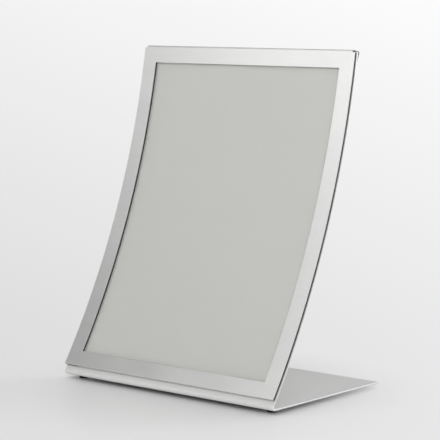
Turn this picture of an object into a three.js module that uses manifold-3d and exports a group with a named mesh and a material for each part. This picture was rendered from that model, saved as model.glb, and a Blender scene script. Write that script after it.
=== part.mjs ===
// Curved tabletop sign holder: a bent sheet stand, a hooked magnetic frame, a lens and a sign card.
// Sizes are millimetres. +X is the viewer's right, +Y runs back and +Z is up.
// The origin lies on the table, below the middle of the outline.

import * as THREE from 'three';
import { mergeVertices } from 'three/addons/utils/BufferGeometryUtils.js';
import Module from 'manifold-3d';

const wasm = await Module();
wasm.setup();

// Sign card and lens
const CARD_WIDTH = 215.9;
const CARD_HEIGHT = 279.4;
const CARD_THICKNESS = 0.25;
const LENS_THICKNESS = 0.4;

// Front frame: its members cover the card's edges, and heights run along the curve
const CARD_COVERED = 6.35;
const SIDE_MEMBER = 14.2;
const TOP_MEMBER = 15.2;
const BOTTOM_MEMBER = 13.5;
const FRAME_SHEET = 0.8;

// Hook along the frame's top, with its ends cut back beside the bend
const HOOK_BEND_INSIDE = 0.7;
const HOOK_PLAY = 4.2;
const HOOK_LIP = 7;
const HOOK_LIP_TURN = THREE.MathUtils.degToRad(12);
const HOOK_SEAT = 0.3;
const RELIEF_WIDTH = 2.5;
const RELIEF_ROOT = 0.5;

// Magnetic strips behind the side members
const STRIP_THICKNESS = 1.6;
const STRIP_MARGIN = 0.25;

// Curve of the sign: the lean from upright at the frame's bottom edge, and the radius of its front face
const LEAN_AT_BOTTOM = THREE.MathUtils.degToRad(33.15);
const CURVE_RADIUS = 706;

// Stand
const STAND_SHEET = 1.5;
const STAND_BEND_INSIDE = 1.5;
const STAND_DEPTH = 143.4;
const FRAME_RISE = 9.7;

// Feet: the front pair stand close behind the bend, and the back pair farther in from the plate's edges
const FOOT_DIAMETER = 8.5;
const FOOT_HEIGHT = 3.5;
const FOOT_CHAMFER = 0.8;
const FRONT_FOOT_SIDE = 11;
const FRONT_FOOT_BACK = 9.5;
const BACK_FOOT_INSET = 20;

// Film of air or adhesive between neighbouring layers
const LAYER_GAP = 0.1;

// Straight pieces that make up each round stretch of an outline are twice this number
const ARC_STEPS = 12;
const FOOT_SIDES = 40;

// Outline of the frame
const WINDOW_WIDTH = CARD_WIDTH - 2 * CARD_COVERED;
const WINDOW_HEIGHT = CARD_HEIGHT - 2 * CARD_COVERED;
const FRAME_WIDTH = WINDOW_WIDTH + 2 * SIDE_MEMBER;
const FRAME_HEIGHT = BOTTOM_MEMBER + WINDOW_HEIGHT + TOP_MEMBER;
const CARD_BOTTOM = BOTTOM_MEMBER - CARD_COVERED;

// Layers from the frame's front face back to the panel, as radii about one centre
const STRIP_RADIUS = CURVE_RADIUS + FRAME_SHEET + LAYER_GAP;
const LENS_RADIUS = STRIP_RADIUS + STRIP_THICKNESS + LAYER_GAP;
const CARD_RADIUS = LENS_RADIUS + LENS_THICKNESS + LAYER_GAP;
const PANEL_RADIUS = CARD_RADIUS + CARD_THICKNESS + LAYER_GAP;
const PANEL_BACK_RADIUS = PANEL_RADIUS + STAND_SHEET;

// Heights above the table
const PLATE_UNDERSIDE = FOOT_HEIGHT + LAYER_GAP;
const PLATE_TOP = PLATE_UNDERSIDE + STAND_SHEET;
const PLATE_BACK = STAND_DEPTH / 2;

// Outlines are drawn in the side view, where x runs back and y runs up
const FRAME_FOOT = new THREE.Vector2(-STAND_DEPTH / 2, PLATE_UNDERSIDE + FRAME_RISE);
const CENTRE = new THREE.Vector2(-Math.cos(LEAN_AT_BOTTOM), Math.sin(LEAN_AT_BOTTOM))
  .multiplyScalar(CURVE_RADIUS)
  .add(FRAME_FOOT);

// Local x of an outline turns to +Y, local y to +Z and the extruded depth to +X
const SIDE_VIEW = new THREE.Matrix4().makeBasis(
  new THREE.Vector3(0, 1, 0),
  new THREE.Vector3(0, 0, 1),
  new THREE.Vector3(1, 0, 0),
);

/** Lean from upright at a height measured along the frame's front face. */
function leanAt(height) {
  return LEAN_AT_BOTTOM - height / CURVE_RADIUS;
}

/** Unit vector that points straight back, square to the curve, where it has this lean. */
function backward(lean) {
  return new THREE.Vector2(Math.cos(lean), -Math.sin(lean));
}

/** Unit vector that points up along the curve where it has this lean. */
function upward(lean) {
  return new THREE.Vector2(Math.sin(lean), Math.cos(lean));
}

/** Point at a radius about the curve's centre, where the curve has this lean. */
function onCurve(radius, lean) {
  return backward(lean).multiplyScalar(radius).add(CENTRE);
}

/** Carries an outline on round an arc about a point, from one angle to another. */
function arc(shape, about, radius, from, to, clockwise) {
  shape.absarc(about.x, about.y, radius, from, to, clockwise);
}

/** Closed curved band between two radii and two heights along the curve. */
function bandShape(frontRadius, backRadius, low, high) {
  const shape = new THREE.Shape();
  arc(shape, CENTRE, backRadius, -leanAt(low), -leanAt(high), false);
  arc(shape, CENTRE, frontRadius, -leanAt(high), -leanAt(low), true);
  shape.closePath();
  return shape;
}

/** Side-view outline drawn out to a width along X, starting at a left edge. */
function extrude(shape, left, width) {
  const geometry = new THREE.ExtrudeGeometry(shape, {
    depth: width,
    curveSegments: ARC_STEPS,
    bevelEnabled: false,
  });
  return geometry.applyMatrix4(SIDE_VIEW).translate(left, 0, 0);
}

/** Side-view outline drawn out evenly to both sides of the middle plane. */
function extrudeCentred(shape, width) {
  return extrude(shape, -width / 2, width);
}

/** Closed geometry as a solid that can be cut. */
function toSolid(geometry) {
  const bare = geometry.clone();
  bare.deleteAttribute('normal');
  bare.deleteAttribute('uv');
  const merged = mergeVertices(bare);
  return new wasm.Manifold(new wasm.Mesh({
    numProp: 3,
    vertProperties: new Float32Array(merged.attributes.position.array),
    triVerts: new Uint32Array(merged.index.array),
  }));
}

/** Solid back as a geometry. */
function toGeometry(solid) {
  const mesh = solid.getMesh();
  const geometry = new THREE.BufferGeometry();
  geometry.setAttribute('position', new THREE.BufferAttribute(mesh.vertProperties, 3));
  geometry.setIndex(new THREE.BufferAttribute(mesh.triVerts, 1));
  geometry.computeVertexNormals();
  return geometry;
}

/** Geometry with a list of other geometries cut away. */
function cut(geometry, cutters) {
  const solid = cutters.reduce((rest, cutter) => rest.subtract(toSolid(cutter)), toSolid(geometry));
  return toGeometry(solid);
}

/** Frame's hook: where its two bends are centred, and how the lip hangs behind the panel. */
function hookLayout() {
  const bendOutside = HOOK_BEND_INSIDE + FRAME_SHEET;
  const lean = leanAt(FRAME_HEIGHT - bendOutside);
  const depth = PANEL_BACK_RADIUS + HOOK_PLAY + FRAME_SHEET - CURVE_RADIUS;
  const front = onCurve(CURVE_RADIUS + bendOutside, lean);
  const back = onCurve(CURVE_RADIUS + depth - bendOutside, lean);
  return { bendOutside, lean, depth, front, back, lipLean: lean + HOOK_LIP_TURN };
}

/** Outline of the frame's sheet: front face, two bends with the flange between them, and the lip. */
function frameShape() {
  const hook = hookLayout();
  const lipBack = backward(hook.lipLean);
  const lipDown = upward(hook.lipLean).multiplyScalar(-HOOK_LIP);
  const tipOutside = lipBack.clone().multiplyScalar(hook.bendOutside).add(hook.back).add(lipDown);
  const tipInside = lipBack.clone().multiplyScalar(HOOK_BEND_INSIDE).add(hook.back).add(lipDown);
  const faceward = Math.PI - hook.lean;
  const topward = Math.PI / 2 - hook.lean;
  const shape = new THREE.Shape();
  arc(shape, CENTRE, CURVE_RADIUS, -LEAN_AT_BOTTOM, -hook.lean, false);
  arc(shape, hook.front, hook.bendOutside, faceward, topward, true);
  arc(shape, hook.back, hook.bendOutside, topward, -hook.lipLean, true);
  shape.lineTo(tipOutside.x, tipOutside.y);
  shape.lineTo(tipInside.x, tipInside.y);
  arc(shape, hook.back, HOOK_BEND_INSIDE, -hook.lipLean, topward, false);
  arc(shape, hook.front, HOOK_BEND_INSIDE, topward, faceward, false);
  arc(shape, CENTRE, CURVE_RADIUS + FRAME_SHEET, -hook.lean, -LEAN_AT_BOTTOM, true);
  shape.closePath();
  return shape;
}

/** Outline that takes the whole hook away beside the bend and leaves the front face below it. */
function reliefShape() {
  const hook = hookLayout();
  const reach = hook.depth + HOOK_LIP;
  const corners = [
    [-reach, -RELIEF_ROOT],
    [0, -RELIEF_ROOT],
    [0, -2 * reach],
    [reach, -2 * reach],
    [reach, reach],
    [-reach, reach],
  ];
  return new THREE.Shape(corners.map(([back, up]) => backward(hook.lean)
    .multiplyScalar(back)
    .addScaledVector(upward(hook.lean), up)
    .add(hook.front)));
}

/** Thin frame with its window cut square to the curve and its hook cut back at both ends. */
function frontFrame() {
  const windowShape = bandShape(
    CURVE_RADIUS - FRAME_SHEET,
    CURVE_RADIUS + 2 * FRAME_SHEET,
    BOTTOM_MEMBER,
    BOTTOM_MEMBER + WINDOW_HEIGHT,
  );
  return cut(extrudeCentred(frameShape(), FRAME_WIDTH), [
    extrudeCentred(windowShape, WINDOW_WIDTH),
    extrude(reliefShape(), -FRAME_WIDTH / 2 - RELIEF_WIDTH, 2 * RELIEF_WIDTH),
    extrude(reliefShape(), FRAME_WIDTH / 2 - RELIEF_WIDTH, 2 * RELIEF_WIDTH),
  ]);
}

/** Strip behind a side member, a little narrower, from the frame's bottom edge up to the hook's bend. */
function magnetStrip(side) {
  const width = SIDE_MEMBER - 2 * STRIP_MARGIN;
  const top = FRAME_HEIGHT - hookLayout().bendOutside;
  const shape = bandShape(STRIP_RADIUS, STRIP_RADIUS + STRIP_THICKNESS, 0, top);
  const middle = side * (FRAME_WIDTH - SIDE_MEMBER) / 2;
  return extrude(shape, middle - width / 2, width);
}

/** Flat sheet of the card's size, bent to the curve at a radius. */
function curvedSheet(radius, thickness) {
  const shape = bandShape(radius, radius + thickness, CARD_BOTTOM, CARD_BOTTOM + CARD_HEIGHT);
  return extrudeCentred(shape, CARD_WIDTH);
}

/** Lean of the curve at the panel's top edge, just under the hook's flange. */
function panelTopLean() {
  const hook = hookLayout();
  return hook.lean - (HOOK_BEND_INSIDE - HOOK_SEAT) / PANEL_RADIUS;
}

/** Centre of the front bend: it touches the underside of the plate and the front of the panel. */
function bendCentre() {
  const bendOutside = STAND_BEND_INSIDE + STAND_SHEET;
  const height = PLATE_UNDERSIDE + bendOutside;
  const run = Math.sqrt((PANEL_RADIUS + bendOutside) ** 2 - (height - CENTRE.y) ** 2);
  return new THREE.Vector2(CENTRE.x + run, height);
}

/** Stand in one sheet: plate, front bend and curved back panel. */
function stand() {
  const bend = bendCentre();
  const bendLean = Math.atan2(CENTRE.y - bend.y, bend.x - CENTRE.x);
  const topLean = panelTopLean();
  const panelward = Math.PI - bendLean;
  const tableward = 3 * Math.PI / 2;
  const shape = new THREE.Shape();
  shape.moveTo(PLATE_BACK, PLATE_UNDERSIDE);
  shape.lineTo(bend.x, PLATE_UNDERSIDE);
  arc(shape, bend, STAND_BEND_INSIDE + STAND_SHEET, tableward, panelward, true);
  arc(shape, CENTRE, PANEL_RADIUS, -bendLean, -topLean, false);
  arc(shape, CENTRE, PANEL_BACK_RADIUS, -topLean, -bendLean, true);
  arc(shape, bend, STAND_BEND_INSIDE, panelward, tableward, false);
  shape.lineTo(PLATE_BACK, PLATE_TOP);
  shape.closePath();
  return extrudeCentred(shape, FRAME_WIDTH);
}

/** Round pad with its lower edge chamfered. */
function foot() {
  const radius = FOOT_DIAMETER / 2;
  const profile = [
    new THREE.Vector2(0, 0),
    new THREE.Vector2(radius - FOOT_CHAMFER, 0),
    new THREE.Vector2(radius, FOOT_CHAMFER),
    new THREE.Vector2(radius, FOOT_HEIGHT),
    new THREE.Vector2(0, FOOT_HEIGHT),
  ];
  return new THREE.LatheGeometry(profile, FOOT_SIDES).rotateX(Math.PI / 2);
}

/** Named piece with its finish. */
function piece(name, geometry, finish) {
  const mesh = new THREE.Mesh(geometry, new THREE.MeshStandardMaterial(finish));
  mesh.name = name;
  return mesh;
}

const STAND_FINISH = { color: 0xbfc0c0, roughness: 0.45, metalness: 0.8 };
const FRAME_FINISH = { color: 0xcfd0d1, roughness: 0.35, metalness: 0.9 };
const MAGNET_FINISH = { color: 0x1c1c1d, roughness: 0.8, metalness: 0 };
const LENS_FINISH = { color: 0xf2f4f3, roughness: 0.5, metalness: 0, transparent: true, opacity: 0.3 };
const CARD_FINISH = { color: 0xbec2bf, roughness: 0.85, metalness: 0 };
const FOOT_FINISH = { color: 0x202022, roughness: 0.9, metalness: 0 };

const holder = new THREE.Group();
holder.add(piece('stand', stand(), STAND_FINISH));
holder.add(piece('front_frame', frontFrame(), FRAME_FINISH));
holder.add(piece('magnet_strip_left', magnetStrip(-1), MAGNET_FINISH));
holder.add(piece('magnet_strip_right', magnetStrip(1), MAGNET_FINISH));
holder.add(piece('lens_sheet', curvedSheet(LENS_RADIUS, LENS_THICKNESS), LENS_FINISH));
holder.add(piece('insert_sheet', curvedSheet(CARD_RADIUS, CARD_THICKNESS), CARD_FINISH));

const FRONT_FOOT = new THREE.Vector2(FRAME_WIDTH / 2 - FRONT_FOOT_SIDE, bendCentre().x + FRONT_FOOT_BACK);
const BACK_FOOT = new THREE.Vector2(FRAME_WIDTH / 2 - BACK_FOOT_INSET, PLATE_BACK - BACK_FOOT_INSET);
const FOOT_SPOTS = {
  foot_front_left: [-1, FRONT_FOOT],
  foot_front_right: [1, FRONT_FOOT],
  foot_back_left: [-1, BACK_FOOT],
  foot_back_right: [1, BACK_FOOT],
};
for (const [name, [side, spot]] of Object.entries(FOOT_SPOTS)) {
  const pad = piece(name, foot(), FOOT_FINISH);
  pad.position.set(side * spot.x, spot.y, 0);
  holder.add(pad);
}

export default holder;
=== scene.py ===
import bpy
import numpy as np
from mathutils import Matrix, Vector


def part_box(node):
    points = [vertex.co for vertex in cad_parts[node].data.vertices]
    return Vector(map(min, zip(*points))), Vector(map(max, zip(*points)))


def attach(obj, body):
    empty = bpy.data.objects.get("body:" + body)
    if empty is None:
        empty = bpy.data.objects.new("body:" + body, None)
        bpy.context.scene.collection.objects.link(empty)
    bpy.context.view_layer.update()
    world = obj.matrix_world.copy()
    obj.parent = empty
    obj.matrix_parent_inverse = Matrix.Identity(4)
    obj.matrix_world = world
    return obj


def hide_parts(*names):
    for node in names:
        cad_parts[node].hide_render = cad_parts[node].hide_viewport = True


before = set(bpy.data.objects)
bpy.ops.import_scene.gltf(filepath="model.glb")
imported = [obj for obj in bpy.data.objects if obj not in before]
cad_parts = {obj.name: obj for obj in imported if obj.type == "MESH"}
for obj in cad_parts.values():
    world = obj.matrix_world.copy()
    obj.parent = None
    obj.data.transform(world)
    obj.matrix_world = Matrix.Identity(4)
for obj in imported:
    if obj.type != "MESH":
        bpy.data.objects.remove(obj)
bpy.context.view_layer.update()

# Sizes in metres, as the maker would give them
FRAME_WIDTH = 0.2316
FACE_HEIGHT = 0.2939
FRAME_SHEET = 0.0008
SIDE_MEMBER = 0.0142
BOTTOM_MEMBER = 0.0135
WINDOW_HEIGHT = 0.2667
HOOK_OUTSIDE = 0.0015
HOOK_DEPTH = 0.00995
HOOK_LIP = 0.007
HOOK_LIP_TURN = np.radians(12.0)
RELIEF_WIDTH = 0.0025
RELIEF_ROOT = 0.0005
STRIP_WIDTH = 0.0137
STRIP_SHEET = 0.0016
RIGHT_STRIP_SHORT = 0.0006
CARD_WIDTH = 0.2159
CARD_HEIGHT = 0.2794
CARD_BOTTOM = 0.00715
CARD_SHEET = 0.00025
LENS_SHEET = 0.0004
STAND_SHEET = 0.0015
STAND_OUTSIDE = 0.003
PANEL_TOP_OVER = 0.0004
PANEL_POINTS = 101
PLATE_UNDERSIDE = 0.0036
PLATE_BACK = 0.0717
FOOT_RADIUS = 0.00425
FOOT_HEIGHT = 0.0035
FOOT_ROUND = 0.0008
FOOT_ROUND_POINTS = 7
FOOT_TURNS = 48

# Rounding of the cut edges, and the border over which their own finish and painted shade set in
FRAME_ROUND = 0.00016
STRIP_ROUND = 0.0002
STAND_ROUND = 0.00025
LENS_ROUND = 0.00008
CARD_ROUND = 0.00005
SHARP_EDGE = np.radians(50.0)
ROUND_STEPS = 3
CUT_BORDER = 0.0003
LENS_BORDER = 0.0004
# Height above the plate's underside up to which the stand's painted shade reaches
SHADE_RISE = 0.0001

# The concave curve: every layer lies at its own radius about one centre
CURVE_RADIUS = 0.706
STRIP_RADIUS = 0.7069
LENS_RADIUS = 0.7086
CARD_RADIUS = 0.7091
PANEL_RADIUS = 0.70945
LEAN_AT_BOTTOM = np.radians(33.15)
FRAME_FOOT = np.array([-0.0717, 0.0133])
CENTRE = FRAME_FOOT + CURVE_RADIUS * np.array([-np.cos(LEAN_AT_BOTTOM), np.sin(LEAN_AT_BOTTOM)])


def lean_at(height):
    """Lean from upright, at a height along the face: that at the bottom less the height over the radius."""
    return LEAN_AT_BOTTOM - height / CURVE_RADIUS


def backward(lean):
    """Unit vector straight back from the curve: the cosine of the lean along Y and minus its sine along Z."""
    return np.stack([np.cos(lean), -np.sin(lean)], -1)


def upward(lean):
    """Unit vector up along the curve: the sine of the lean along Y and its cosine along Z."""
    return np.stack([np.sin(lean), np.cos(lean)], -1)


def curve_run(radius, low, high, steps):
    """Side-view points of the curve at even heights: its centre plus the radius times straight back."""
    return CENTRE + radius * backward(lean_at(np.linspace(low, high, steps + 1)))


def bend_run(about, radius, start, end, steps):
    """Side-view points of a bend: its centre plus the radius times the cosine and sine of a turning angle."""
    angle = np.linspace(start, end, steps + 1)
    return about + radius * np.stack([np.cos(angle), np.sin(angle)], -1)


def straight_run(start, end, steps):
    """Side-view points of a flat stretch: even steps from its start to its end."""
    return start + np.linspace(0.0, 1.0, steps + 1)[:, None] * (end - start)


def joined(*runs):
    """One path from runs that meet end to end: each run but the first gives up its first point."""
    return np.concatenate([runs[0]] + [run[1:] for run in runs[1:]])


def distance_along(path):
    """Length of the path up to each of its points: the running sum of the steps between them."""
    return np.concatenate([[0.0], np.cumsum(np.linalg.norm(np.diff(path, axis=0), axis=1))])


def even_across(width, steps):
    """Even places from one side of a sheet to the other."""
    return np.linspace(-width / 2, width / 2, steps + 1)


def add_piece(name, points, faces, material, body, nodes):
    """Smooth mesh piece at the origin, riding on its body and standing for its CAD nodes."""
    mesh = bpy.data.meshes.new(name)
    mesh.from_pydata(points, [], faces)
    mesh.polygons.foreach_set("use_smooth", np.ones(len(mesh.polygons), bool))
    mesh.materials.append(material)
    piece = bpy.data.objects.new(name, mesh)
    bpy.context.scene.collection.objects.link(piece)
    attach(piece, body)
    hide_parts(*nodes)
    return piece


def bent_sheet(name, path, across, sheet, round_over, finish, body, node, kept=None):
    """Sheet bent along a path.

    The point at (across, along) is the path's point at along, set sideways to across. The grid is the outer
    face. Cells that aren't kept stay open, the sheet's thickness lies behind the face, and every cut edge is
    rounded over. The flat map holds the same grid unrolled, in metres.
    """
    side, back = np.meshgrid(across, path[:, 0])
    up = np.broadcast_to(path[:, 1:], side.shape)
    flat_up = np.broadcast_to(distance_along(path)[:, None], side.shape)
    corner = np.arange(side.size).reshape(side.shape)
    quads = np.stack([corner[:-1, :-1], corner[:-1, 1:], corner[1:, 1:], corner[1:, :-1]], -1)
    quads = quads.reshape(-1, 4) if kept is None else quads[kept]
    used, quads = np.unique(quads, return_inverse=True)
    quads = quads.reshape(-1, 4)
    points = np.stack([side, back, up], -1).reshape(-1, 3)[used]
    flat = np.stack([side, flat_up], -1).reshape(-1, 2)[used]
    piece = add_piece(name, points, quads.tolist(), finish, body, [node])
    flat_map = piece.data.uv_layers.new(name="flat")
    flat_map.data.foreach_set("uv", flat[quads.ravel()].astype(np.float32).ravel())
    wall = piece.modifiers.new("sheet", "SOLIDIFY")
    wall.thickness = sheet
    wall.offset = -1.0
    wall.use_even_offset = True
    wall.use_quality_normals = True
    edge = piece.modifiers.new("round_over", "BEVEL")
    edge.limit_method = "ANGLE"
    edge.angle_limit = SHARP_EDGE
    edge.width = round_over
    edge.segments = ROUND_STEPS
    shade = piece.modifiers.new("even_shade", "WEIGHTED_NORMAL")
    shade.mode = "FACE_AREA"


def turned_pad(name, spot, finish, body, node):
    """Round pad: the point at (turn, step) is the profile's radius swung by the turn, at its height.

    The profile runs from a ring in the underside, through a quarter round and up the wall, to a ring in the
    top. Both rings are closed flat.
    """
    quarter = np.linspace(0.0, np.pi / 2, FOOT_ROUND_POINTS)
    inner = FOOT_RADIUS - FOOT_ROUND
    under = inner * 0.9
    top = inner * 0.98
    radius = np.concatenate([[under], inner + FOOT_ROUND * np.sin(quarter), [FOOT_RADIUS, top]])
    height = np.concatenate([[0.0], FOOT_ROUND * (1.0 - np.cos(quarter)), [FOOT_HEIGHT, FOOT_HEIGHT]])
    turn = np.linspace(0.0, 2 * np.pi, FOOT_TURNS, endpoint=False)
    ring = np.stack(np.broadcast_arrays(
        spot[0] + radius[:, None] * np.cos(turn),
        spot[1] + radius[:, None] * np.sin(turn),
        spot[2] + height[:, None],
    ), -1)
    corner = np.arange(ring.shape[0] * ring.shape[1]).reshape(ring.shape[:2])
    beside = np.roll(corner, -1, axis=1)
    quads = np.stack([corner[:-1], beside[:-1], beside[1:], corner[1:]], -1).reshape(-1, 4)
    faces = quads.tolist() + [corner[0, ::-1].tolist(), corner[-1].tolist()]
    add_piece(name, ring.reshape(-1, 3), faces, finish, body, [node])


# Range of a mask, and how far a grain's value spreads
WHOLE = (0.0, 1.0)
GRAIN_SPREAD = (0.3, 0.7)


# Steps that every node tree is built from

def link(tree, source, target):
    """Joins an output socket to an input socket of a node tree."""
    tree.links.new(source, target)


def computed(tree, operation, *values):
    """Result of one step of arithmetic on sockets and plain numbers."""
    node = tree.nodes.new("ShaderNodeMath")
    node.operation = operation
    for socket, value in zip(node.inputs, values):
        if isinstance(value, float):
            socket.default_value = value
        else:
            link(tree, value, socket)
    return node.outputs["Value"]


def measured(tree, operation, place, fixed):
    """Number that comes of a place and a fixed vector, such as the distance between them."""
    node = tree.nodes.new("ShaderNodeVectorMath")
    node.operation = operation
    node.inputs[1].default_value = fixed
    link(tree, place, node.inputs[0])
    return node.outputs["Value"]


def carried(tree, value, source, target=WHOLE, easing="LINEAR"):
    """Value carried from a source range over to a target range, and held at the ends."""
    node = tree.nodes.new("ShaderNodeMapRange")
    node.interpolation_type = easing
    for end, source_end, target_end in zip(("Min", "Max"), source, target):
        node.inputs[f"From {end}"].default_value = source_end
        node.inputs[f"To {end}"].default_value = target_end
    link(tree, value, node.inputs["Value"])
    return node.outputs["Result"]


def ramped(tree, value, stops):
    """Colour that a value finds on a ramp of stops, each a position and a colour."""
    node = tree.nodes.new("ShaderNodeValToRGB")
    marks = node.color_ramp.elements
    for index, (position, colour) in enumerate(stops):
        mark = marks[index] if index < 2 else marks.new(position)
        mark.position = position
        mark.color = (*colour, 1.0)
    link(tree, value, node.inputs["Fac"])
    return node.outputs["Color"]


# Shader groups shared by the finishes

VECTOR = "NodeSocketVector"
NUMBER = "NodeSocketFloat"


def new_group(name, inputs, outputs):
    """Empty shader group with named sockets, and its two end nodes."""
    tree = bpy.data.node_groups.new(name, "ShaderNodeTree")
    for label, kind in inputs:
        tree.interface.new_socket(label, in_out="INPUT", socket_type=kind)
    for label, kind in outputs:
        tree.interface.new_socket(label, in_out="OUTPUT", socket_type=kind)
    return tree, tree.nodes.new("NodeGroupInput"), tree.nodes.new("NodeGroupOutput")


def stretched_grain_group():
    """Noise on coordinates that are first scaled by a count of marks per metre along each axis."""
    tree, given, result = new_group(
        "stretched_grain",
        [("Place", VECTOR), ("Marks per metre", VECTOR), ("Detail", NUMBER)],
        [("Grain", NUMBER)],
    )
    scaled = tree.nodes.new("ShaderNodeVectorMath")
    scaled.operation = "MULTIPLY"
    noise = tree.nodes.new("ShaderNodeTexNoise")
    noise.inputs["Scale"].default_value = 1.0
    noise.inputs["Roughness"].default_value = 0.6
    link(tree, given.outputs["Place"], scaled.inputs[0])
    link(tree, given.outputs["Marks per metre"], scaled.inputs[1])
    link(tree, scaled.outputs["Vector"], noise.inputs["Vector"])
    link(tree, given.outputs["Detail"], noise.inputs["Detail"])
    link(tree, noise.outputs["Fac"], result.inputs["Grain"])
    return tree


def handling_haze_group():
    """Soft cloudy marks of wiping: broad noise, thinned by a second, finer noise, and spread over 0 to 1."""
    tree, given, result = new_group(
        "handling_haze",
        [("Place", VECTOR), ("Patches per metre", NUMBER)],
        [("Haze", NUMBER)],
    )
    patches = given.outputs["Patches per metre"]
    clouds = []
    for scale, detail in ((patches, 3.0), (computed(tree, "MULTIPLY", patches, 6.0), 2.0)):
        noise = tree.nodes.new("ShaderNodeTexNoise")
        noise.inputs["Detail"].default_value = detail
        link(tree, given.outputs["Place"], noise.inputs["Vector"])
        link(tree, scale, noise.inputs["Scale"])
        clouds.append(noise.outputs["Fac"])
    thinned = computed(tree, "MULTIPLY", *clouds)
    link(tree, carried(tree, thinned, (0.12, 0.42)), result.inputs["Haze"])
    return tree


STRETCHED_GRAIN = stretched_grain_group()
HANDLING_HAZE = handling_haze_group()


class Finish:
    """One material: its shader, and the few nodes that lay marks on it."""

    def __init__(self, name, metallic, specular=0.5):
        """New material with its share of metal and its level of gloss."""
        self.material = bpy.data.materials.new(name)
        self.material.use_nodes = True
        self.tree = self.material.node_tree
        self.shader = self.tree.nodes["Principled BSDF"]
        self.shader.inputs["Metallic"].default_value = metallic
        self.shader.inputs["Specular IOR Level"].default_value = specular
        self.coordinates = self.tree.nodes.new("ShaderNodeTexCoord")

    def place(self, flat=False):
        """Coordinates in metres: those of the unrolled sheet, or the object's own."""
        return self.coordinates.outputs["UV" if flat else "Object"]

    def coordinate(self, axis, flat=False):
        """One of the coordinates, by the letter of its axis."""
        split = self.tree.nodes.new("ShaderNodeSeparateXYZ")
        link(self.tree, self.place(flat), split.inputs["Vector"])
        return split.outputs[axis]

    def grain(self, marks, detail, flat=False):
        """Grain with its own count of marks per metre along each axis."""
        node = self.tree.nodes.new("ShaderNodeGroup")
        node.node_tree = STRETCHED_GRAIN
        node.inputs["Marks per metre"].default_value = marks
        node.inputs["Detail"].default_value = detail
        link(self.tree, self.place(flat), node.inputs["Place"])
        return node.outputs["Grain"]

    def haze(self, patches):
        """Handling haze with its own count of patches per metre."""
        node = self.tree.nodes.new("ShaderNodeGroup")
        node.node_tree = HANDLING_HAZE
        node.inputs["Patches per metre"].default_value = patches
        link(self.tree, self.place(), node.inputs["Place"])
        return node.outputs["Haze"]

    def math(self, operation, *values):
        """Result of one step of arithmetic in this material."""
        return computed(self.tree, operation, *values)

    def between(self, value, low, high, spread=GRAIN_SPREAD):
        """Number that runs from low to high as a value crosses its spread."""
        return carried(self.tree, value, spread, (low, high))

    def hazed(self, roughness, patches, most):
        """Roughness with up to a most added where wiping has left its haze."""
        return self.math("ADD", roughness, self.between(self.haze(patches), 0.0, most, WHOLE))

    def near_ends(self, value, half, border):
        """Mask that rises from 0 to 1 over a border just inside both ends of a stretch centred on zero."""
        return self.between(self.math("ABSOLUTE", value), 0.0, 1.0, (half - border, half))

    def laid_over(self, mask, under, over):
        """One colour that gives way to another as a mask rises."""
        node = self.tree.nodes.new("ShaderNodeMix")
        node.data_type = "RGBA"
        link(self.tree, mask, node.inputs[0])
        link(self.tree, under, node.inputs[6])
        link(self.tree, over, node.inputs[7])
        return node.outputs[2]

    def tinted(self, value, dark, pale):
        """Colour that runs from dark to pale as a grain's value crosses its spread."""
        return ramped(self.tree, value, zip(GRAIN_SPREAD, (dark, pale)))

    def coat(self, colour, roughness, relief, depth):
        """Joins the colour, roughness and relief to the shader, the relief with its depth in metres."""
        bump = self.tree.nodes.new("ShaderNodeBump")
        bump.inputs["Strength"].default_value = 1.0
        bump.inputs["Distance"].default_value = depth
        link(self.tree, relief, bump.inputs["Height"])
        link(self.tree, bump.outputs["Normal"], self.shader.inputs["Normal"])
        link(self.tree, colour, self.shader.inputs["Base Color"])
        link(self.tree, roughness, self.shader.inputs["Roughness"])
        return self.material


def brushed_silver():
    """Aluminium brushed from side to side: long fine lines and a faint haze of handling.

    The cut ends of the hook, from its front bend on, are painted dark grey as painted shade, standing in for
    the shade inside the hook.
    """
    finish = Finish("brushed_silver", metallic=1.0)
    lines = finish.grain((26.0, 2200.0, 1.0), detail=3.0, flat=True)
    bright = finish.tinted(lines, dark=(0.803, 0.803, 0.795), pale=(0.855, 0.855, 0.847))
    # painted shade: a dark copy of the brushed metal for the shaded ends of the hook
    hook_end_shade = finish.tinted(lines, dark=(0.16, 0.16, 0.16), pale=(0.22, 0.22, 0.22))
    hook_half = FRAME_WIDTH / 2 - RELIEF_WIDTH
    front_bend = (FACE_HEIGHT, FACE_HEIGHT + 2 * HOOK_OUTSIDE)
    at_ends = finish.near_ends(finish.coordinate("X", flat=True), hook_half, CUT_BORDER)
    on_hook = finish.between(finish.coordinate("Y", flat=True), 0.0, 1.0, front_bend)
    # the hook's ends take the painted shade in place of the bright metal
    colour = finish.laid_over(finish.math("MULTIPLY", at_ends, on_hook), bright, hook_end_shade)
    roughness = finish.hazed(finish.between(lines, 0.30, 0.38), patches=9.0, most=0.05)
    return finish.coat(colour, roughness, relief=lines, depth=0.000003)


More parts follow.
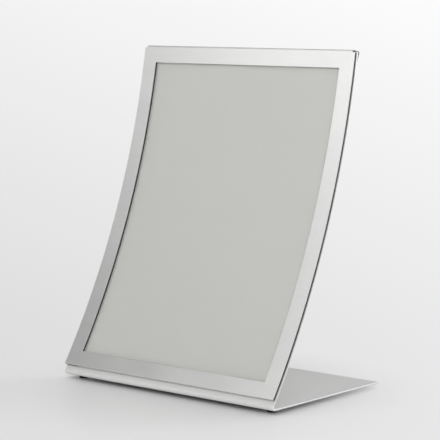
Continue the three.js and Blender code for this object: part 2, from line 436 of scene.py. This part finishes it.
def satin_silver():
    """Silver paint: tiny bright flakes in a satin coat with a very shallow orange-peel ripple.

    The cut sides are bare metal. The underside and the lowest sliver of the front bend are painted near black
    as painted shade, to darken the gap under the plate.
    """
    paint_metallic = 0.15
    finish = Finish("satin_silver", metallic=paint_metallic, specular=0.35)
    flakes = finish.grain((2600.0, 2600.0, 2600.0), detail=2.0)
    ripple = finish.grain((420.0, 420.0, 420.0), detail=1.0)
    paint = finish.tinted(flakes, dark=(0.672, 0.672, 0.666), pale=(0.770, 0.770, 0.764))
    bare = finish.tinted(ripple, dark=(0.90, 0.90, 0.895), pale=(0.96, 0.96, 0.955))
    # painted shade: near black for the underside, to darken the gap under the plate
    underside_shade = finish.tinted(ripple, dark=(0.030, 0.030, 0.031), pale=(0.050, 0.050, 0.051))
    cut_side = finish.near_ends(finish.coordinate("X"), FRAME_WIDTH / 2, CUT_BORDER)
    shade_top = PLATE_UNDERSIDE + SHADE_RISE
    # mask of the painted shade: the underside and the lowest sliver of the front bend
    underside = finish.between(finish.coordinate("Z"), 1.0, 0.0, (shade_top, shade_top + CUT_BORDER))
    colour = finish.laid_over(underside, finish.laid_over(cut_side, paint, bare), underside_shade)
    link(finish.tree, finish.between(cut_side, paint_metallic, 1.0, WHOLE), finish.shader.inputs["Metallic"])
    roughness = finish.hazed(finish.between(flakes, 0.40, 0.48), patches=7.0, most=0.05)
    roughness = finish.math("ADD", roughness, finish.between(cut_side, 0.0, -0.2, WHOLE))
    return finish.coat(colour, roughness, relief=ripple, depth=0.00002)


def magnet_black():
    """Matte black magnetic rubber with a fine pressed grain."""
    finish = Finish("magnet_black", metallic=0.0, specular=0.3)
    grain = finish.grain((1800.0, 1800.0, 1800.0), detail=3.0)
    colour = finish.tinted(grain, dark=(0.010, 0.010, 0.011), pale=(0.024, 0.024, 0.025))
    return finish.coat(colour, finish.between(grain, 0.66, 0.82), relief=grain, depth=0.00004)


def matte_lens():
    """Clear sheet with a finely matted front, faintly clouded where hands have held it, and a grey rim."""
    finish = Finish("matte_lens", metallic=0.0)
    matting = finish.grain((3000.0, 3000.0, 3000.0), detail=2.0)
    clear = finish.tinted(matting, dark=(0.80, 0.81, 0.80), pale=(0.90, 0.91, 0.90))
    edge = finish.tinted(matting, dark=(0.42, 0.44, 0.43), pale=(0.50, 0.52, 0.51))
    half_height = CARD_HEIGHT / 2
    from_middle = finish.math("SUBTRACT", finish.coordinate("Y", flat=True), half_height)
    sides = finish.near_ends(finish.coordinate("X", flat=True), CARD_WIDTH / 2, LENS_BORDER)
    ends = finish.near_ends(from_middle, half_height, LENS_BORDER)
    rim = finish.math("ADD", sides, ends)
    link(finish.tree, finish.between(rim, 0.12, 0.7, WHOLE), finish.shader.inputs["Alpha"])
    roughness = finish.hazed(finish.between(matting, 0.40, 0.52), patches=8.0, most=0.08)
    return finish.coat(finish.laid_over(rim, clear, edge), roughness, relief=matting, depth=0.00001)


def card_grey():
    """Plain grey card: fine felted fibres, some long and some short."""
    finish = Finish("card_grey", metallic=0.0, specular=0.25)
    fibres = finish.grain((900.0, 900.0, 900.0), detail=5.0)
    colour = finish.tinted(fibres, dark=(0.570, 0.574, 0.541), pale=(0.613, 0.617, 0.584))
    return finish.coat(colour, finish.between(fibres, 0.78, 0.92), relief=fibres, depth=0.00003)


def foot_black():
    """Soft black rubber with a dusty, finely pitted skin."""
    finish = Finish("foot_black", metallic=0.0, specular=0.3)
    pits = finish.grain((2200.0, 2200.0, 2200.0), detail=3.0)
    colour = finish.tinted(pits, dark=(0.012, 0.012, 0.013), pale=(0.034, 0.034, 0.035))
    return finish.coat(colour, finish.between(pits, 0.72, 0.9), relief=pits, depth=0.00004)


# Paths of the bent sheets, in the side view

def frame_path():
    """Face, front bend, flange, back bend and lip of the frame, along the outside of its sheet."""
    lean = lean_at(FACE_HEIGHT)
    lip_lean = lean + HOOK_LIP_TURN
    front = CENTRE + (CURVE_RADIUS + HOOK_OUTSIDE) * backward(lean)
    back = CENTRE + (CURVE_RADIUS + HOOK_DEPTH - HOOK_OUTSIDE) * backward(lean)
    over = HOOK_OUTSIDE * upward(lean)
    tip = back + HOOK_OUTSIDE * backward(lip_lean)
    window_top = BOTTOM_MEMBER + WINDOW_HEIGHT
    relief_root = FACE_HEIGHT - RELIEF_ROOT
    return joined(
        curve_run(CURVE_RADIUS, 0.0, BOTTOM_MEMBER, steps=6),
        curve_run(CURVE_RADIUS, BOTTOM_MEMBER, window_top, steps=90),
        curve_run(CURVE_RADIUS, window_top, relief_root, steps=6),
        curve_run(CURVE_RADIUS, relief_root, FACE_HEIGHT, steps=1),
        bend_run(front, HOOK_OUTSIDE, np.pi - lean, np.pi / 2 - lean, steps=10),
        straight_run(front + over, back + over, steps=3),
        bend_run(back, HOOK_OUTSIDE, np.pi / 2 - lean, -lip_lean, steps=11),
        straight_run(tip, tip - HOOK_LIP * upward(lip_lean), steps=3),
    )


def stand_path():
    """Underside of the plate, outside of the front bend and front of the panel.

    The bend's centre lies one bend radius above the underside, and as far behind the panel's front.
    """
    height = PLATE_UNDERSIDE + STAND_OUTSIDE
    reach = np.sqrt((PANEL_RADIUS + STAND_OUTSIDE) ** 2 - (height - CENTRE[1]) ** 2)
    bend = np.array([CENTRE[0] + reach, height])
    bend_lean = np.arctan2(CENTRE[1] - height, reach)
    top_lean = lean_at(FACE_HEIGHT) - PANEL_TOP_OVER / PANEL_RADIUS
    panel = CENTRE + PANEL_RADIUS * backward(np.linspace(bend_lean, top_lean, PANEL_POINTS))
    plate_end = bend + np.array([0.0, -STAND_OUTSIDE])
    return joined(
        straight_run(np.array([PLATE_BACK, PLATE_UNDERSIDE]), plate_end, steps=14),
        bend_run(bend, STAND_OUTSIDE, 1.5 * np.pi, np.pi - bend_lean, steps=16),
        panel,
    )


# Frame with its window and the hook cut back at both ends

window = FRAME_WIDTH / 2 - SIDE_MEMBER
relief = FRAME_WIDTH / 2 - RELIEF_WIDTH
frame_across = np.concatenate([
    [-FRAME_WIDTH / 2, -relief],
    even_across(2 * window, steps=12),
    [relief, FRAME_WIDTH / 2],
])
face_path = frame_path()
face_along = distance_along(face_path)
cell_side = np.abs(frame_across[1:] + frame_across[:-1]) / 2
cell_along = (face_along[1:] + face_along[:-1]) / 2
beside_window = cell_side > window
over_or_under = (cell_along < BOTTOM_MEMBER) | (cell_along > BOTTOM_MEMBER + WINDOW_HEIGHT)
between_reliefs = cell_side < relief
below_reliefs = cell_along < FACE_HEIGHT - RELIEF_ROOT
off_window = beside_window[None, :] | over_or_under[:, None]
off_reliefs = between_reliefs[None, :] | below_reliefs[:, None]
bent_sheet("frame_face", face_path, frame_across, FRAME_SHEET, FRAME_ROUND,
           brushed_silver(), "frame", "front_frame", off_window & off_reliefs)

# Stand, magnetic strips, lens, card and feet

bent_sheet("stand_sheet", stand_path(), even_across(FRAME_WIDTH, steps=12), STAND_SHEET, STAND_ROUND,
           satin_silver(), "stand", "stand")

rubber = magnet_black()
for side, hand, cut_short in ((-1, "left", 0.0), (1, "right", RIGHT_STRIP_SHORT)):
    strip_across = side * (FRAME_WIDTH - SIDE_MEMBER) / 2 + even_across(STRIP_WIDTH, steps=2)
    strip_path = curve_run(STRIP_RADIUS, cut_short, FACE_HEIGHT - RELIEF_ROOT, steps=96)
    bent_sheet(f"strip_{hand}", strip_path, strip_across, STRIP_SHEET, STRIP_ROUND,
               rubber, "frame", f"magnet_strip_{hand}")

card_across = even_across(CARD_WIDTH, steps=12)
card_top = CARD_BOTTOM + CARD_HEIGHT
lens_path = curve_run(LENS_RADIUS, CARD_BOTTOM, card_top, steps=96)
bent_sheet("lens_cover", lens_path, card_across, LENS_SHEET, LENS_ROUND,
           matte_lens(), "lens", "lens_sheet")
card_path = curve_run(CARD_RADIUS, CARD_BOTTOM, card_top, steps=96)
bent_sheet("sign_card", card_path, card_across, CARD_SHEET, CARD_ROUND,
           card_grey(), "sign", "insert_sheet")

pad_rubber = foot_black()
for end in ("front", "back"):
    for hand in ("left", "right"):
        low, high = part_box(f"foot_{end}_{hand}")
        middle = (low + high) / 2
        turned_pad(f"pad_{end}_{hand}", (middle.x, middle.y, low.z), pad_rubber,
                   "stand", f"foot_{end}_{hand}")


# Studio: pale floor, soft light and the camera

FLOOR_REACH = 400.0
FLOOR_MIDDLE = (0.0, -0.065, 0.0)
FLOOR_RIGHT = (0.763, 0.646, 0.0)
PAPER_TO_GLOW = (0.08, 0.24)
LIFT_REACH = 2.0
GLOW_LEVELS = ((0.12, 0.77), (0.42, 0.83), (0.82, 0.905), (1.0, 0.935))
GLOW_TINT = np.array([1.0, 0.997, 1.008])
TILT_REACH = 1.3
TILT_SPREAD = (-0.15, 0.15)
TILT_STRENGTH = (0.94, 1.06)
ROOM_LEVELS = ((0.03, 0.935), (0.09, 0.567), (1.0, 0.0))
ROOM_RISE_BEHIND = 0.25
LAMP_AIM = Vector((0.0, 0.0, 0.13))
SMALL_BOX = {"distance": 1.3, "side": 0.46}
LARGE_BOX = {"distance": 1.5, "side": 1.0}
CAMERA_PLACE = (1.01788, -1.20088, 0.32878)
CAMERA_AZIMUTH = 40.274
CAMERA_ELEVATION = 6.8
LENS_LENGTH_MM = 152.417
FILM_WIDTH_MM = 36.0


def pale_floor():
    """Wide flat floor whose colour lifts to the pale background with distance."""
    reach = FLOOR_REACH
    corners = [(-reach, -reach, 0.0), (reach, -reach, 0.0), (reach, reach, 0.0), (-reach, reach, 0.0)]
    mesh = bpy.data.meshes.new("floor")
    mesh.from_pydata(corners, [], [(0, 1, 2, 3)])
    floor = bpy.data.objects.new("floor", mesh)
    bpy.context.scene.collection.objects.link(floor)
    mesh.materials.append(floor_paper())


def floor_paper():
    """Satin paper near the object. Farther off, what the camera and gloss see of it turns to a pale glow.

    Distance is taken from a point under the object's front. The glow's colour lifts with the distance over
    the distance plus a reach. Its strength tilts with the place to the right over the distance plus a reach.
    """
    material = bpy.data.materials.new("floor_paper")
    material.use_nodes = True
    tree = material.node_tree
    paper = tree.nodes["Principled BSDF"]
    paper.inputs["Roughness"].default_value = 0.4
    paper.inputs["Specular IOR Level"].default_value = 0.35
    paper.inputs["Base Color"].default_value = (0.98, 0.98, 0.98, 1.0)
    place = tree.nodes.new("ShaderNodeTexCoord").outputs["Object"]
    away = measured(tree, "DISTANCE", place, FLOOR_MIDDLE)
    rightward = measured(tree, "DOT_PRODUCT", place, FLOOR_RIGHT)
    lift = computed(tree, "DIVIDE", away, computed(tree, "ADD", away, LIFT_REACH))
    tilt = computed(tree, "DIVIDE", rightward, computed(tree, "ADD", away, TILT_REACH))
    glow = tree.nodes.new("ShaderNodeEmission")
    stops = [(position, level * GLOW_TINT) for position, level in GLOW_LEVELS]
    link(tree, ramped(tree, lift, stops), glow.inputs["Color"])
    link(tree, carried(tree, tilt, TILT_SPREAD, TILT_STRENGTH), glow.inputs["Strength"])
    path = tree.nodes.new("ShaderNodeLightPath")
    seen = computed(tree, "MAXIMUM", path.outputs["Is Camera Ray"], path.outputs["Is Glossy Ray"])
    seen = computed(tree, "MAXIMUM", seen, path.outputs["Is Transmission Ray"])
    far = carried(tree, away, PAPER_TO_GLOW, easing="SMOOTHSTEP")
    mixed = tree.nodes.new("ShaderNodeMixShader")
    link(tree, computed(tree, "MULTIPLY", far, seen), mixed.inputs["Fac"])
    link(tree, paper.outputs["BSDF"], mixed.inputs[1])
    link(tree, glow.outputs["Emission"], mixed.inputs[2])
    link(tree, mixed.outputs["Shader"], tree.nodes["Material Output"].inputs["Surface"])
    return material


def studio_world():
    """Room light that is pale along the horizon and fades from there to the top.

    Height is the upward part of a direction, less a share of its backward part, so the pale band stands
    higher behind the object.
    """
    world = bpy.data.worlds.new("studio")
    bpy.context.scene.world = world
    world.use_nodes = True
    tree = world.node_tree
    aim = tree.nodes.new("ShaderNodeSeparateXYZ")
    link(tree, tree.nodes.new("ShaderNodeTexCoord").outputs["Generated"], aim.inputs["Vector"])
    behind = computed(tree, "MAXIMUM", aim.outputs["Y"], 0.0)
    height = computed(tree, "MULTIPLY_ADD", behind, -ROOM_RISE_BEHIND, aim.outputs["Z"])
    stops = [(position, (level, level, level)) for position, level in ROOM_LEVELS]
    link(tree, ramped(tree, height, stops), tree.nodes["Background"].inputs["Color"])


def direction(azimuth, elevation):
    """Unit vector to an azimuth, counted from the front to the right, and an elevation, both in degrees."""
    turn = np.radians(azimuth)
    tilt = np.radians(elevation)
    return Vector((np.sin(turn) * np.cos(tilt), -np.cos(turn) * np.cos(tilt), np.sin(tilt)))


def set_up(name, data, place, away):
    """Lamp or camera at a place, turned to look straight against a direction."""
    thing = bpy.data.objects.new(name, data)
    thing.location = place
    thing.rotation_mode = "QUATERNION"
    thing.rotation_quaternion = away.to_track_quat("Z", "Y")
    bpy.context.scene.collection.objects.link(thing)
    return thing


def soft_box(name, azimuth, elevation, power, distance, side, mirrored=True):
    """Square soft lamp that faces the object, from an azimuth round it and an elevation above the floor.

    A lamp that isn't mirrored lights matte surfaces only, as if its light were fully scattered.
    """
    lamp = bpy.data.lights.new(name, "AREA")
    lamp.shape = "RECTANGLE"
    lamp.size = side
    lamp.size_y = side
    lamp.energy = power
    away = direction(azimuth, elevation)
    box = set_up(name, lamp, LAMP_AIM + away * distance, away)
    box.visible_camera = False
    box.visible_glossy = mirrored


def front_right_camera():
    """Camera in front of the object, to its right and a little above it, with a long lens."""
    lens = bpy.data.cameras.new("camera")
    lens.lens = LENS_LENGTH_MM
    lens.sensor_width = FILM_WIDTH_MM
    away = direction(CAMERA_AZIMUTH, CAMERA_ELEVATION)
    bpy.context.scene.camera = set_up("camera", lens, CAMERA_PLACE, away)


pale_floor()
studio_world()
soft_box("front_left", azimuth=-30.0, elevation=15.0, power=0.97, **SMALL_BOX)
soft_box("front_left_high", azimuth=-30.0, elevation=42.0, power=0.68, **SMALL_BOX)
soft_box("front_high", azimuth=-10.0, elevation=42.0, power=0.64, **SMALL_BOX)
soft_box("left_top", azimuth=-45.0, elevation=60.0, power=2.57, **LARGE_BOX)
soft_box("left_side", azimuth=-110.0, elevation=40.0, power=0.75, **LARGE_BOX)
soft_box("right_side", azimuth=40.0, elevation=20.0, power=9.4, mirrored=False, **LARGE_BOX)
soft_box("right_back", azimuth=140.0, elevation=25.0, power=3.5, **LARGE_BOX)
soft_box("high_back", azimuth=180.0, elevation=65.0, power=4.55, **LARGE_BOX)
front_right_camera()
bpy.context.scene.view_settings.view_transform = "Standard"
